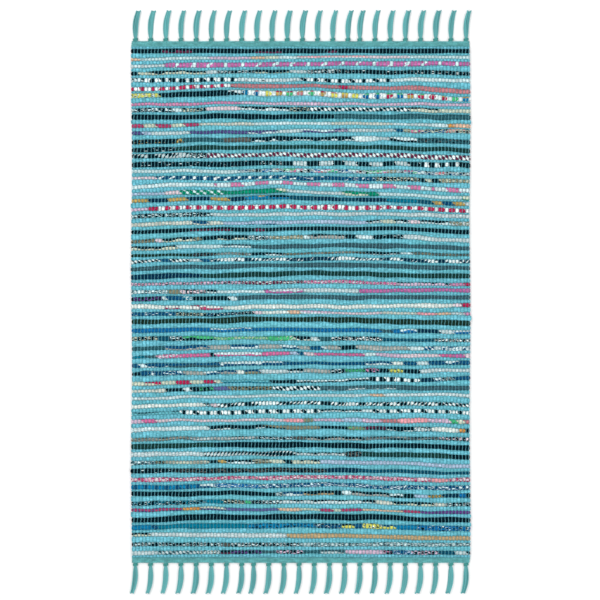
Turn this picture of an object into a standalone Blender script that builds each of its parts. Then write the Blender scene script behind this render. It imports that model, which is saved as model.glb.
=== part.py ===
"""A hand-woven rag rug that lies flat, with a yarn heading and a knotted fringe at each end.

Metres, +Z up. X runs along the weft picks and Y along the warp. The origin is on the floor
under the middle of the rug. The end at +Y is the far end, and the near end is the same
pieces turned half round.
"""

import math
from collections import namedtuple

import bmesh
import bpy

# Driving dimensions.
WIDTH = 0.610  # between the selvedges
WOVEN_LENGTH = 0.940  # between the outer edges of the headings
HEADING_DEPTH = 0.010  # of each heading, along Y
FRINGE_LENGTH = 0.056  # from a heading to the tips of its tassels
FIELD_THICKNESS = 0.006  # rag picks with the warp over and under them
HEADING_THICKNESS = 0.004  # yarn picks, which pack flatter than rags
GAP = 0.0003  # between pieces that meet

# Selvedges. Each is a little uneven, as the rags pull in more or less.
SELVEDGE_DRIFT = 0.0009
SELVEDGE_WAVES = 2.6  # waves along the woven length
SIDE_PHASE = {-1: 0.4, 1: 2.1}  # of the wave at the left and the right selvedge
FIELD_STATIONS = 48  # steps along Y that follow the drift
CORNER_TAPER = 0.0016  # how far a heading draws in at each corner
HEADING_STATIONS = 4
EDGE_ROUND = 0.45  # of the thickness, on the long edges
EDGE_SEGMENTS = 3

# Fringe. The warp ends are drawn along the heading in a thin row and knotted in tassels.
TASSELS = 23
TASSEL_PITCH = 0.02735
SHORT_PITCH = 0.0215  # one tassel sits nearer to the one before it
SHORT_AFTER = 15  # tassels from the left that stand before the short pitch
TIP_LEAN = 0.0063  # how far a tip bends to the right
LEAN_FROM = 0.022  # distance from the heading where the bend starts
ROW_DEPTH = 0.0024  # of the row of drawn-in warp ends, along Y
ROW_HEIGHT = 0.0036
ROW_END = 0.0030  # of the row, past the first and the last tassel
TASSEL_SIDES = 8

Section = namedtuple("Section", "distance width height")
TASSEL_SECTIONS = (
    Section(distance=0.0010, width=0.0056, height=0.0034),  # inside the row
    Section(distance=0.0018, width=0.0086, height=0.0050),  # knot
    Section(distance=0.0046, width=0.0088, height=0.0052),  # knot
    Section(distance=0.0062, width=0.0064, height=0.0036),  # neck
    Section(distance=0.0120, width=0.0092, height=0.0042),
    Section(distance=0.0220, width=0.0107, height=0.0044),
    Section(distance=0.0350, width=0.0108, height=0.0044),  # fullest
    Section(distance=0.0470, width=0.0098, height=0.0042),
    Section(distance=FRINGE_LENGTH, width=0.0082, height=0.0038),  # cut tip
)

# Finishes: sRGB hex, roughness, metallic.
Finish = namedtuple("Finish", "colour roughness metallic")
FINISHES = {
    "turquoise_rag_cotton": Finish("#5FBFCF", 0.88, 0.0),
    "teal_cotton_yarn": Finish("#57A6A6", 0.82, 0.0),
}


def linear(hex_colour):
    """An sRGB hex colour as linear RGBA."""
    channels = [int(hex_colour[i : i + 2], 16) / 255 for i in (1, 3, 5)]
    return [c / 12.92 if c <= 0.04045 else ((c + 0.055) / 1.055) ** 2.4 for c in channels] + [1.0]


def clear_scene():
    for obj in list(bpy.data.objects):
        bpy.data.objects.remove(obj, do_unlink=True)


def new_collection(name):
    collection = bpy.data.collections.new(name)
    bpy.context.scene.collection.children.link(collection)
    return collection


def cotton(name):
    """A Principled material from the table of finishes."""
    finish = FINISHES[name]
    material = bpy.data.materials.new(name)
    material.use_nodes = True
    shader = material.node_tree.nodes["Principled BSDF"]
    shader.inputs["Base Color"].default_value = linear(finish.colour)
    shader.inputs["Roughness"].default_value = finish.roughness
    shader.inputs["Metallic"].default_value = finish.metallic
    material.diffuse_color = linear(finish.colour)
    return material


def new_object(name, mesh, collection, material=None):
    if material:
        mesh.materials.clear()
        mesh.materials.append(material)
    obj = bpy.data.objects.new(name, mesh)
    collection.objects.link(obj)
    return obj


def turned_half_round(name, original, collection):
    """The near end's copy of a far end's piece, which shares its mesh."""
    copy = bpy.data.objects.new(name, original.data)
    copy.location = (-original.location.x, -original.location.y, original.location.z)
    copy.rotation_euler.z = math.pi
    collection.objects.link(copy)
    return copy


def selvedge(y, side):
    """Half the field's width at y, on the left (side -1) or the right (side 1)."""
    turn = math.tau * SELVEDGE_WAVES * y / WOVEN_LENGTH
    return WIDTH / 2 + SELVEDGE_DRIFT * math.sin(turn + SIDE_PHASE[side])


def slab(depth, thickness, stations, half_width):
    """A mesh of a flat woven band, round at its long edges, from y 0 to depth.

    half_width gives its half width from the local y and the side.
    """
    shape = bmesh.new()
    bmesh.ops.create_cube(shape, size=1.0)
    bmesh.ops.scale(shape, vec=(WIDTH, depth, thickness), verts=shape.verts)
    bmesh.ops.translate(shape, vec=(0, depth / 2, thickness / 2), verts=shape.verts)
    long_edges = [
        edge
        for edge in shape.edges
        if abs(edge.verts[0].co.y - edge.verts[1].co.y) > depth / 2
    ]
    bmesh.ops.bevel(
        shape,
        geom=long_edges,
        offset=thickness * EDGE_ROUND,
        segments=EDGE_SEGMENTS,
        profile=0.5,
        affect="EDGES",
    )
    for station in range(1, stations):
        bmesh.ops.bisect_plane(
            shape,
            geom=shape.verts[:] + shape.edges[:] + shape.faces[:],
            plane_co=(0, depth * station / stations, 0),
            plane_no=(0, 1, 0),
        )
    for vertex in shape.verts:
        side = 1 if vertex.co.x > 0 else -1
        vertex.co.x += side * (half_width(vertex.co.y, side) - WIDTH / 2)
    mesh = bpy.data.meshes.new("slab")
    shape.to_mesh(mesh)
    shape.free()
    return mesh


def woven_field(collection, material):
    """The rag-woven part between the two headings."""
    depth = WOVEN_LENGTH - 2 * HEADING_DEPTH - 2 * GAP
    mesh = slab(
        depth,
        FIELD_THICKNESS,
        FIELD_STATIONS,
        lambda y, side: selvedge(y - depth / 2, side),
    )
    field = new_object("woven_field", mesh, collection, material)
    field.location.y = -depth / 2
    return field


def heading(collection, material):
    """The yarn band that locks the rags in at the far end."""
    mesh = slab(
        HEADING_DEPTH,
        HEADING_THICKNESS,
        HEADING_STATIONS,
        lambda y, side: WIDTH / 2 - CORNER_TAPER * (y / HEADING_DEPTH) ** 2,
    )
    band = new_object("heading_far", mesh, collection, material)
    band.location.y = WOVEN_LENGTH / 2 - HEADING_DEPTH
    return band


def tassel_places():
    """X of each tassel, from the left, centred on the rug."""
    places = [0.0]
    for placed in range(1, TASSELS):
        pitch = SHORT_PITCH if placed == SHORT_AFTER else TASSEL_PITCH
        places.append(places[-1] + pitch)
    middle = places[-1] / 2
    return [place - middle for place in places]


def lean(distance):
    """How far right a tassel has bent at this distance from the heading."""
    share = max(0.0, (distance - LEAN_FROM) / (FRINGE_LENGTH - LEAN_FROM))
    return TIP_LEAN * share**2


def tassel_ring(shape, section, x):
    """The edges of one section's oval, flat where it lies on the floor."""
    ring = bmesh.ops.create_circle(shape, segments=TASSEL_SIDES, radius=1.0)["verts"]
    half_side = math.pi / TASSEL_SIDES
    for vertex in ring:
        turn = math.atan2(vertex.co.y, vertex.co.x) + half_side
        across = section.width / 2 * math.cos(turn) / math.cos(half_side)
        up = section.height / 2 * math.sin(turn) / math.cos(half_side)
        vertex.co = (x + lean(section.distance) + across, section.distance, section.height / 2 + up)
    return list({edge for vertex in ring for edge in vertex.link_edges})


def tassel(number, x, collection):
    """A helper that the comb takes in: one knot and its tassel, lofted through the sections."""
    shape = bmesh.new()
    rings = [tassel_ring(shape, section, x) for section in TASSEL_SECTIONS]
    for behind, ahead in zip(rings, rings[1:]):
        bmesh.ops.bridge_loops(shape, edges=behind + ahead)
    bmesh.ops.holes_fill(shape, edges=rings[0] + rings[-1])
    bmesh.ops.recalc_face_normals(shape, faces=shape.faces)
    mesh = bpy.data.meshes.new(f"tassel_{number}")
    shape.to_mesh(mesh)
    shape.free()
    helper = new_object(f"tassel_{number}", mesh, collection)
    helper.display_type = "WIRE"
    helper.hide_render = True


def drawn_in_row(places, collection):
    """The thin row of warp ends along the heading, from the first tassel to the last."""
    shape = bmesh.new()
    bmesh.ops.create_cube(shape, size=1.0)
    length = places[-1] - places[0] + 2 * ROW_END
    bmesh.ops.scale(shape, vec=(length, ROW_DEPTH, ROW_HEIGHT), verts=shape.verts)
    middle = (0, GAP + ROW_DEPTH / 2, ROW_HEIGHT / 2)
    bmesh.ops.translate(shape, vec=middle, verts=shape.verts)
    mesh = bpy.data.meshes.new("fringe")
    shape.to_mesh(mesh)
    shape.free()
    return new_object("fringe_far", mesh, collection)


def fringe(collection, helpers, material):
    """The far fringe as one comb: the row of warp ends and its knotted tassels."""
    places = tassel_places()
    for number, x in enumerate(places, start=1):
        tassel(number, x, helpers)
    comb = drawn_in_row(places, collection)
    comb.location.y = WOVEN_LENGTH / 2
    for helper in helpers.objects:
        helper.location.y = WOVEN_LENGTH / 2
    union = comb.modifiers.new("tassels", "BOOLEAN")
    union.operation = "UNION"
    union.solver = "EXACT"
    union.operand_type = "COLLECTION"
    union.collection = helpers
    bpy.context.view_layer.update()
    graph = bpy.context.evaluated_depsgraph_get()
    joined = bpy.data.meshes.new_from_object(comb.evaluated_get(graph))
    comb.modifiers.clear()
    comb.data = joined
    joined.materials.clear()
    joined.materials.append(material)
    return comb


def shade(objects):
    for obj in objects:
        obj.data.shade_smooth()
        obj.data.set_sharp_from_angle(angle=math.radians(40))


def build():
    clear_scene()
    rug = new_collection("rag_rug")
    helpers = new_collection("tassel_helpers")
    rag = cotton("turquoise_rag_cotton")
    yarn = cotton("teal_cotton_yarn")
    field = woven_field(rug, rag)
    heading_far = heading(rug, yarn)
    fringe_far = fringe(rug, helpers, yarn)
    turned_half_round("heading_near", heading_far, rug)
    turned_half_round("fringe_near", fringe_far, rug)
    shade([field, heading_far, fringe_far])


build()
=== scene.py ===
"""The looks of a hand-woven rag rug: rag picks, warp, headings and fringe, each strand its own.

The weave is built as the weaver made it. Picks of mixed rags lie in turn with picks of turquoise
rag, the warp passes over and under them, and it ends in knotted tassels. Python works out the path
of every strand from the chart of picks, and one Geometry Nodes tree gives the strands their bodies.
"""

import math
from collections import namedtuple
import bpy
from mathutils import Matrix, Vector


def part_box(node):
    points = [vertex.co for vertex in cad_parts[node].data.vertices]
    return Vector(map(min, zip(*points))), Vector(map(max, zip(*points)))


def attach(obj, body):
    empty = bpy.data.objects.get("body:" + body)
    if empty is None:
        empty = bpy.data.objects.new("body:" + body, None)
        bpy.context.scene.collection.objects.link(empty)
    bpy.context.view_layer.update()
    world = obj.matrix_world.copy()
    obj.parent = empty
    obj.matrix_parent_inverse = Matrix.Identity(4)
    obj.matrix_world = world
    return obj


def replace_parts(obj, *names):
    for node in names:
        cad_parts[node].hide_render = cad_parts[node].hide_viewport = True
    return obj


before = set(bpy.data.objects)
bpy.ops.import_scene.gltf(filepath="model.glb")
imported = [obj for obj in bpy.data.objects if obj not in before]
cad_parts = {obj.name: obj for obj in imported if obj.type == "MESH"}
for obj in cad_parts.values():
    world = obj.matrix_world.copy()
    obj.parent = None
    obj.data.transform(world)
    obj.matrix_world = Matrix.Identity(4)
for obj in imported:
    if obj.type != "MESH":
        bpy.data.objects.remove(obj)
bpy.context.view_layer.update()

from types import SimpleNamespace

import bpy
import numpy as np
from mathutils import Vector, noise

# Sizes in metres, from the frame where it has them. Half widths and half heights are named so, and
# a share or a factor has no unit.
FIELD_LOW, FIELD_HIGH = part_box("woven_field")
HEADING_LOW, HEADING_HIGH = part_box("heading_far")
FRINGE_LOW, FRINGE_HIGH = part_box("fringe_far")
WIDTH = 0.610
LENGTH = 2 * HEADING_HIGH.y  # of the woven cloth, headings included
HEADING_DEPTH = HEADING_HIGH.y - HEADING_LOW.y
FIELD_MIDDLE = (FIELD_LOW.z + FIELD_HIGH.z) / 2
HEADING_MIDDLE = (HEADING_LOW.z + HEADING_HIGH.z) / 2
FRINGE_LENGTH = FRINGE_HIGH.y - HEADING_HIGH.y
SEED = 7
NOISE_REACH = 1.6  # brings the noise's own reach to about 1

# Selvedges, uneven as on the field's solid.
SELVEDGE_DRIFT = 0.0009
SELVEDGE_WAVES = 2.6
SIDE_PHASE = {-1: 0.4, 1: 2.1}

# Warp.
WARP_ENDS = 196
WARP_PITCH = WIDTH / WARP_ENDS
WARP_WIDTH = 0.00170
WARP_HEIGHT = 0.00115
WARP_RISE = 0.00188  # of a warp end over or under a rag pick
WARP_REACH = 0.50  # of a pick's half width, where the warp end turns down
WARP_WANDER, WARP_WANDER_LENGTH = 0.00022, 0.03  # how far one strays, and in what length
WARP_SLANT, SLANT_LENGTH = 0.00055, 0.05  # of a warp end where it crosses a pick
SLANT_BIAS = 0.35  # share of that slant that all warp ends have
WARP_SHADE = 0.06  # how far two warp ends differ in shade
LINT = 0.13  # share of its colour that a warp end takes from a dark rag's lint where it crosses it
LIGHT_LINT = 0.66  # how much more it takes from a white one, whose lint shows more
# Painted shade: a rag's colour in a warp end's lint is drawn this much darker, for the groove that the end
# lies in.
LINT_PAINTED_SHADE = 0.90

# Rag picks.
RAG_HEIGHT = 0.0033
RAG_CROWD = 1.11  # how much wider a rag is than its room, as it is beaten in against the next ones
RAG_PRESS = 0.00066  # how far a pick dips under a warp end and rises over the next
RAG_PINCH = 0.58  # how much narrower it is under a warp end
FIRM_RAG = 0.0031  # half width below which a rag is too thin to be pinched as much
RAG_SWELL = 0.12  # how much fuller it is over the next one
RAG_PLUMP = 0.04  # and how much higher
SWELL_REACH = 0.38  # of the warp's pitch, how far the full part reaches to each side
UNDER_FULL = 1.20  # how wide the underside is below a crossing warp end, in half widths
UNDER_NECK = 0.90  # and above one, which pinches it from below
THIN, FAT = 0.66, 1.28  # what these words in the chart do to a rag's width
LEAST_TURQUOISE = 0.0024  # width of a turquoise pick where its neighbours crowd it
BULK_UNEVEN, BULK_LENGTH = 0.20, 0.045  # how far a mixed pick's width varies, and over what length
BULK_BLEND = 5  # warp ends over which it changes from one rag to the next
RAG_SHADE = 0.05  # how far two rags differ in shade

# A rag's two ends: lapped with the next rag in the pick, or turned at the selvedge.
RAG_LAP = 0.0040  # each side of the join
LAP_TAPER = 0.0100  # length in which a lapped end grows to its full width
LAP_END = 0.34  # share of its width that it starts with
LAP_SLIP = 0.55  # of its half width, how far it slips aside there
TURN_DEPTH = 0.0030  # in which a turn rounds off
TURN_END = 0.40  # share of its width that it starts with
FLAT_END = 0.55  # least share of its height at either end
END_MARGIN = WARP_PITCH / 3  # from a turn to the next point of its path
CLEAR_OF_END = 1.2 * END_MARGIN  # from an end to the nearest crossing that still shapes it

# How a mixed pick lies. The chart gives its line at three places, and it strays from that.
CHART_STATION = 0.270  # distance of the outer two from the rug's middle
WANDER = 0.0021
CALM_BY_HEADING = 0.060  # distance from a heading inside which it strays less
LONG_SWING, LONG_LENGTH = 0.75, 0.085  # share of the wander, and the length that it takes
SHORT_SWING, SHORT_LENGTH = 0.45, 0.035
TOGETHER = 48  # millimetres within which picks share their long swing

# Headings.
HEADING_PICKS = 5
HEADING_RISE = 0.00105  # of a warp end over or under a heading pick
HEADING_PRESS = 0.00032  # how far a heading pick dips and rises itself
HEADING_CROWD = 1.12
HEADING_YARN = 0.00125  # half its height
HEADING_TAPER = 0.0016  # how far a heading draws in at each corner
HEADING_TIP = 0.6  # share of its size that a pick has at its tips
HEADING_STRAY, HEADING_STRAY_LENGTH = 0.0002, 0.02
HEADING_TONE, HEADING_TONE_UNEVEN, HEADING_TONE_LENGTH = 1.01, 0.30, 0.007
WARP_INSET = 0.0011  # of the outermost warp ends, which the selvedge turns pull in
INSET_FROM, INSET_OVER = 0.300, 0.005  # distance from the middle where that starts, and its length
WARP_TIP = 0.0004  # from a warp end's own tip to the cloth's edge

# Fringe, as on its solid.
TASSELS = 23
TASSEL_PITCH = 0.02735
SHORT_PITCH = 0.0215
SHORT_AFTER = 15
TIP_LEAN = 0.0063
LEAN_FROM = 0.022
STRAND_WIDTH = 0.0023
STRAND_HEIGHT = 0.0019
Section = namedtuple("Section", "distance width")
TASSEL_SECTIONS = (
    Section(0.0000, 0.0072),  # in the knot
    Section(0.0046, 0.0070),
    Section(0.0062, 0.0062),  # neck
    Section(0.0120, 0.0092),
    Section(0.0220, 0.0107),
    Section(0.0350, 0.0108),
    Section(0.0470, 0.0094),
    Section(0.0520, 0.0080),
    Section(FRINGE_LENGTH, 0.0096),  # cut tip, its corners a little frayed
)
GATHER_FROM = -0.0036  # distance where the warp ends leave the heading for their tassel
GATHER_OVER = 0.0032
STRAND_STATIONS = (GATHER_FROM, -0.0024, -0.0012, 0.0006, 0.0030, 0.0062, 0.0100, 0.0160, 0.0230,
                   0.0300, 0.0370, 0.0440, 0.0500, 0.0535)  # distances from the cloth's edge
TUFT_CUT, TUFT_ROUND, TUFT_UNEVEN = 0.0022, 0.0024, 0.0006  # how the cut tips fall short
TUFT_DRIFT = 0.0007  # of a strand from its place in the tassel
TUFT_TIP = 0.8  # share of its width that a strand has at its tip
UPPER_LIFT, LOWER_LIFT = 0.95, 0.10  # of a strand's height: the tassel's two layers
KNOT_LENGTH = 0.0056  # inside which the strands lie flat in two layers
KNOT_LIFT = 0.0007  # of each layer from the knot's middle
STRAND_STRAY, STRAND_STRAY_LENGTH = 0.00025, 0.012  # up and down
STRAND_APART = 0.05  # how much further along its plies each next strand starts
UNTWIST_FROM, UNTWIST_OVER = 0.002, 0.012  # where a warp end opens out to a full strand
STRAND_TONE, STRAND_TONE_UNEVEN = 0.97, 0.15
KNOT_TURN_POINTS = 14
KNOT_YARN = 0.00098  # half its width
WRAP_START, WRAP_PITCH = 0.0018, 0.0012
WRAP_SLOPES = (0.0011, -0.00088, 0.0011)  # of each wrap, along the tassel
WRAP_ACROSS, WRAP_UP, WRAP_MIDDLE = 0.0039, 0.0017, 0.0026  # half width, half height, centre's height
WRAP_ROUND = 0.0036  # about the radius of a wrap, for its plies
# Painted shade: the wraps' tone, under 1 for the shade in the tight knot, and how far it varies at random.
WRAP_TONE, WRAP_TONE_UNEVEN = 0.86, 0.08

# How each kind of strand is meshed: its sides, and how deep and how long its rumples are.
Body = namedtuple("Body", "sides rumple_depth rumple_length")
UNDERSIDE = -0.5  # of a round's radius, the height below which it is the underside
RAG_BODY = Body(6, 0.0011, 0.0075)
WARP_BODY = Body(4, 0.00018, 0.0040)
HEADING_BODY = Body(6, 0.0002, 0.0040)
FRINGE_BODY = Body(6, 0.0003, 0.0060)

# The map that the finish can be baked on: a row of strips for each pick, warp end or tassel.
BANDS = 5  # pieces that the rag picks are shared out to
STRIP_FILL = 0.98  # share of a row that its strips take
TASSEL_STRIPS = 12  # side by side in a tassel's row
TASSEL_STRIP_FILL = 0.96
WRAP_STRIP, WRAP_STRIP_PITCH, WRAP_STRIP_FILL = 9.2, 0.9, 0.8  # of the knot's wraps, in strips

# Soft noise on a strand: how long a patch is, how many lie across the strand's half width, and the
# noise's detail and scale.
Patch = namedtuple("Patch", "length spread detail scale", defaults=(1.0, 1.0))
LOTS = Patch(0.055, 0.2)  # of a rag's dye
FOLDS = Patch(0.020, 0.15)  # along which the line between two tones wanders
SHAKES = Patch(0.011, 0.8)  # that make a print uneven
BLOCKS = Patch(0.024, 0.0)  # in which bars run together
FLECKS = Patch(0.0058, 1.1, scale=1.7)
FLOWERS = Patch(0.013, 0.5)
STREAKS = Patch(0.036, 2.6, detail=2.0)
WEAR = Patch(0.007, 1.3, detail=3.0)
CREASES = Patch(0.009, 2.6, detail=2.0)
WALES = Patch(0.0060, 9.0, detail=3.0)
FIBRES = Patch(0.0020, 2.0, detail=3.0)
PLY_LENGTH = 0.0030  # from one ply to the next along a yarn
NOISE_APART = 97.0  # how far apart the noises of two strands lie, for each unit of their shades

# Camera and light.
VIEW_CENTRE = (-0.00135, 0.0036)
VIEW_WIDTH = 1.080  # that the square picture takes in
VIEW_HEIGHT = 3.0
SENSOR = 36.0
FLOOR_SIZE, FLOOR_DROP = 14.0, 0.0003
WORLD_LIGHT = 0.82
Lamp = namedtuple("Lamp", "name place size power")
LAMPS = (
    Lamp("key", (-1.5, 1.4, 2.3), 2.0, 34),
    Lamp("fill", (1.6, -1.1, 2.5), 2.2, 22),
)

# Dyes, as sRGB hex. The first two rows are the turquoise rags and the yarn. In the second row, the first
# two are the yarn where warp ends cross a turquoise or a mixed rag, drawn darker as painted shade of the
# groove between the rags that they lie in, and the third is a tassel's knot, drawn darker with painted
# shade.
DYES = {
    "turquoise": "#6FBCCE", "sea": "#68B7C3", "yarn": "#62AAAC",
    "shaded_groove_yarn": "#4B9DAB", "shaded_crossing_yarn": "#5C9FAA", "knot": "#4A9F9A",
    "ink": "#001722", "midnight": "#052B44", "navy": "#0C4971", "blue": "#1066A0",
    "marine": "#0C76A4", "teal": "#056F8A", "deep_teal": "#0C4860", "charcoal": "#27545E",
    "slate": "#34545E", "umber": "#55524E", "peat": "#172E24", "moss": "#143633",
    "khaki": "#83816A", "stone": "#A2A6A2", "oat": "#CBD0C6", "tan": "#B99F78",
    "gold": "#B99A58", "yellow": "#D3D364", "orange": "#D0904E", "peach": "#DDB79C",
    "salmon": "#EBA2AA", "coral": "#BC7A80", "red": "#B0244E", "crimson": "#AA3C63",
    "maroon": "#602540", "rose": "#CE6A98", "pink": "#CB88AC", "orchid": "#CC7AA3",
    "magenta": "#B8689E", "mauve": "#CEB4CA", "blush": "#DCCAD2", "violet": "#5C5C92",
    "purple": "#4C467C", "plum": "#5F3E80", "lilac": "#ACC0D8", "mist": "#CBDEE1",
    "pearl": "#C0D2D5", "ice": "#C0DADD", "white": "#CEE4E7", "snow": "#E6F2F2",
    "bone": "#DBE5E0", "cream": "#C9D1BE", "leaf": "#45B677", "green": "#048261",
}
BEAD_DYES = ("yellow", "red", "blue", "leaf", "marine", "gold", "coral")
FLOWER_DYES = ("ink", "rose", "navy", "leaf", "ink", "coral", "blue", "khaki")

# How each print lies on a rag: the material that draws it, its repeat in millimetres, the share of
# the repeat that the first dye takes, and how far it slants, in repeats.
Print = namedtuple("Print", "drawn_by repeat share slant")
PRINTS = {
    "plain": Print("plain", 10.0, 1.00, 0.0),
    "edge": Print("edge", 9.0, 0.52, 0.0),
    "rim": Print("edge", 9.0, 0.74, 0.0),
    "lip": Print("edge", 9.0, 0.30, 0.0),
    "dash": Print("bars", 18.0, 0.50, 0.05),
    "twill": Print("bars", 8.0, 0.54, 0.42),
    "rise": Print("bars", 6.4, 0.54, -0.42),
    "slash": Print("bars", 15.0, 0.66, 0.45),
    "gate": Print("bars", 19.8, 0.72, -0.22),
    "band": Print("bars", 46.0, 0.50, 0.03),
    "star": Print("bars", 29.7, 0.77, -0.10),
    "blot": Print("spots", 21.6, 0.42, 0.10),
    "spot": Print("spots", 19.0, 0.57, 0.0),
    "bead": Print("beads", 19.8, 0.61, 0.0),
    "pied": Print("pied", 7.6, 0.56, -0.34),
    "salt": Print("salt", 3.7, 0.50, 0.50),
    "grit": Print("salt", 4.4, 0.33, 0.50),
    "speck": Print("salt", 6.5, 0.84, 0.30),
    "bloom": Print("bloom", 5.6, 0.48, 0.60),
    "streak": Print("streaks", 26.0, 0.50, 0.0),
}

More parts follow.
